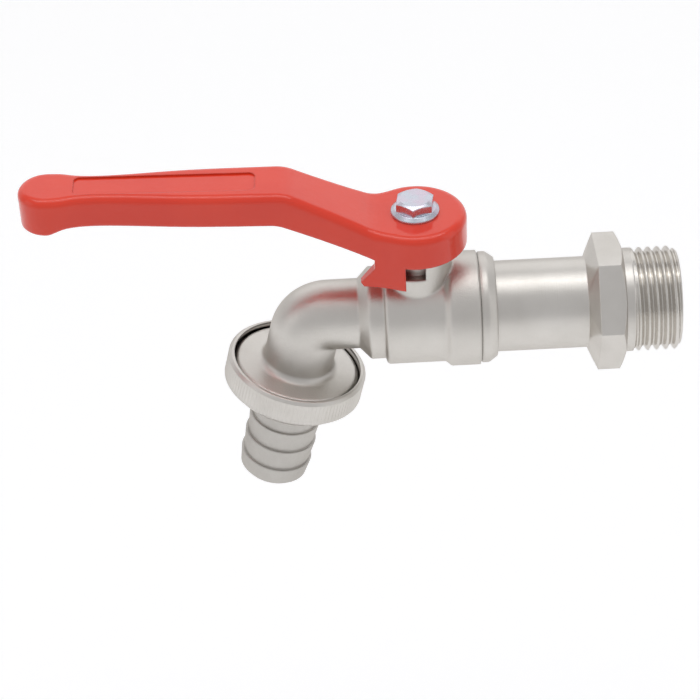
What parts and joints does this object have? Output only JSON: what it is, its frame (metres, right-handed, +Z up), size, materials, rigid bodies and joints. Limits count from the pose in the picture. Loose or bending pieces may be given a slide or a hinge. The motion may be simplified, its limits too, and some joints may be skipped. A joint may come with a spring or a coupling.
{
  "type": "hose ball valve",
  "caption": "Lever-operated ball valve with a threaded inlet tail, an elbow spout and a hose barb held by a knurled union nut.",
  "frame": {"origin": "On the flow axis, at the inlet hexagon's shoulder, where the inlet thread starts.", "axes": "+X points out of the inlet thread along the flow axis, +Z up the stem, and the open lever lies along -X."},
  "size_m": [0.1294, 0.0286, 0.0743],
  "materials": {
    "nickel": "satin nickel plate on brass",
    "red_coat": "glossy red coating on a die casting",
    "zinc": "bright zinc plate on steel",
    "chromed_ball": "polished chrome plate",
    "stem_brass": "turned brass",
    "ptfe": "white PTFE",
    "seal_rubber": "black nitrile rubber"
  },
  "bodies": {
    "valve": {"valve_body": "nickel", "inlet_tail": "nickel", "inlet_seat": "ptfe", "outlet_seat": "ptfe"},
    "lever": {"lever": "red_coat", "lever_screw": "zinc", "stem": "stem_brass", "ball": "chromed_ball", "thrust_washer": "ptfe", "stem_o_ring": "seal_rubber"},
    "hose_tail": {"hose_tail": "nickel", "hose_washer": "seal_rubber"},
    "union_nut": {"union_nut": "nickel"}
  },
  "joints": [
    {"name": "lever_turn", "type": "hinge", "parent": "valve", "child": "lever", "pos_m": [-0.0411, 0, 0], "axis": [0, 0, -1], "range_deg": [0, 90]},
    {"name": "hose_tail_drop", "type": "slide", "parent": "valve", "child": "hose_tail", "axis": [-0.2419, 0, -0.9703], "range_m": [0, 0.00272]},
    {"name": "union_nut_turn", "type": "hinge", "parent": "hose_tail", "child": "union_nut", "pos_m": [-0.06329, 0, 0], "axis": [-0.2419, 0, -0.9703], "range_deg": [0, 541]}
  ],
  "couplings": [
    {"joint": "union_nut_turn", "follows": "hose_tail_drop", "rad_per_m": 3463.7}
  ]
}
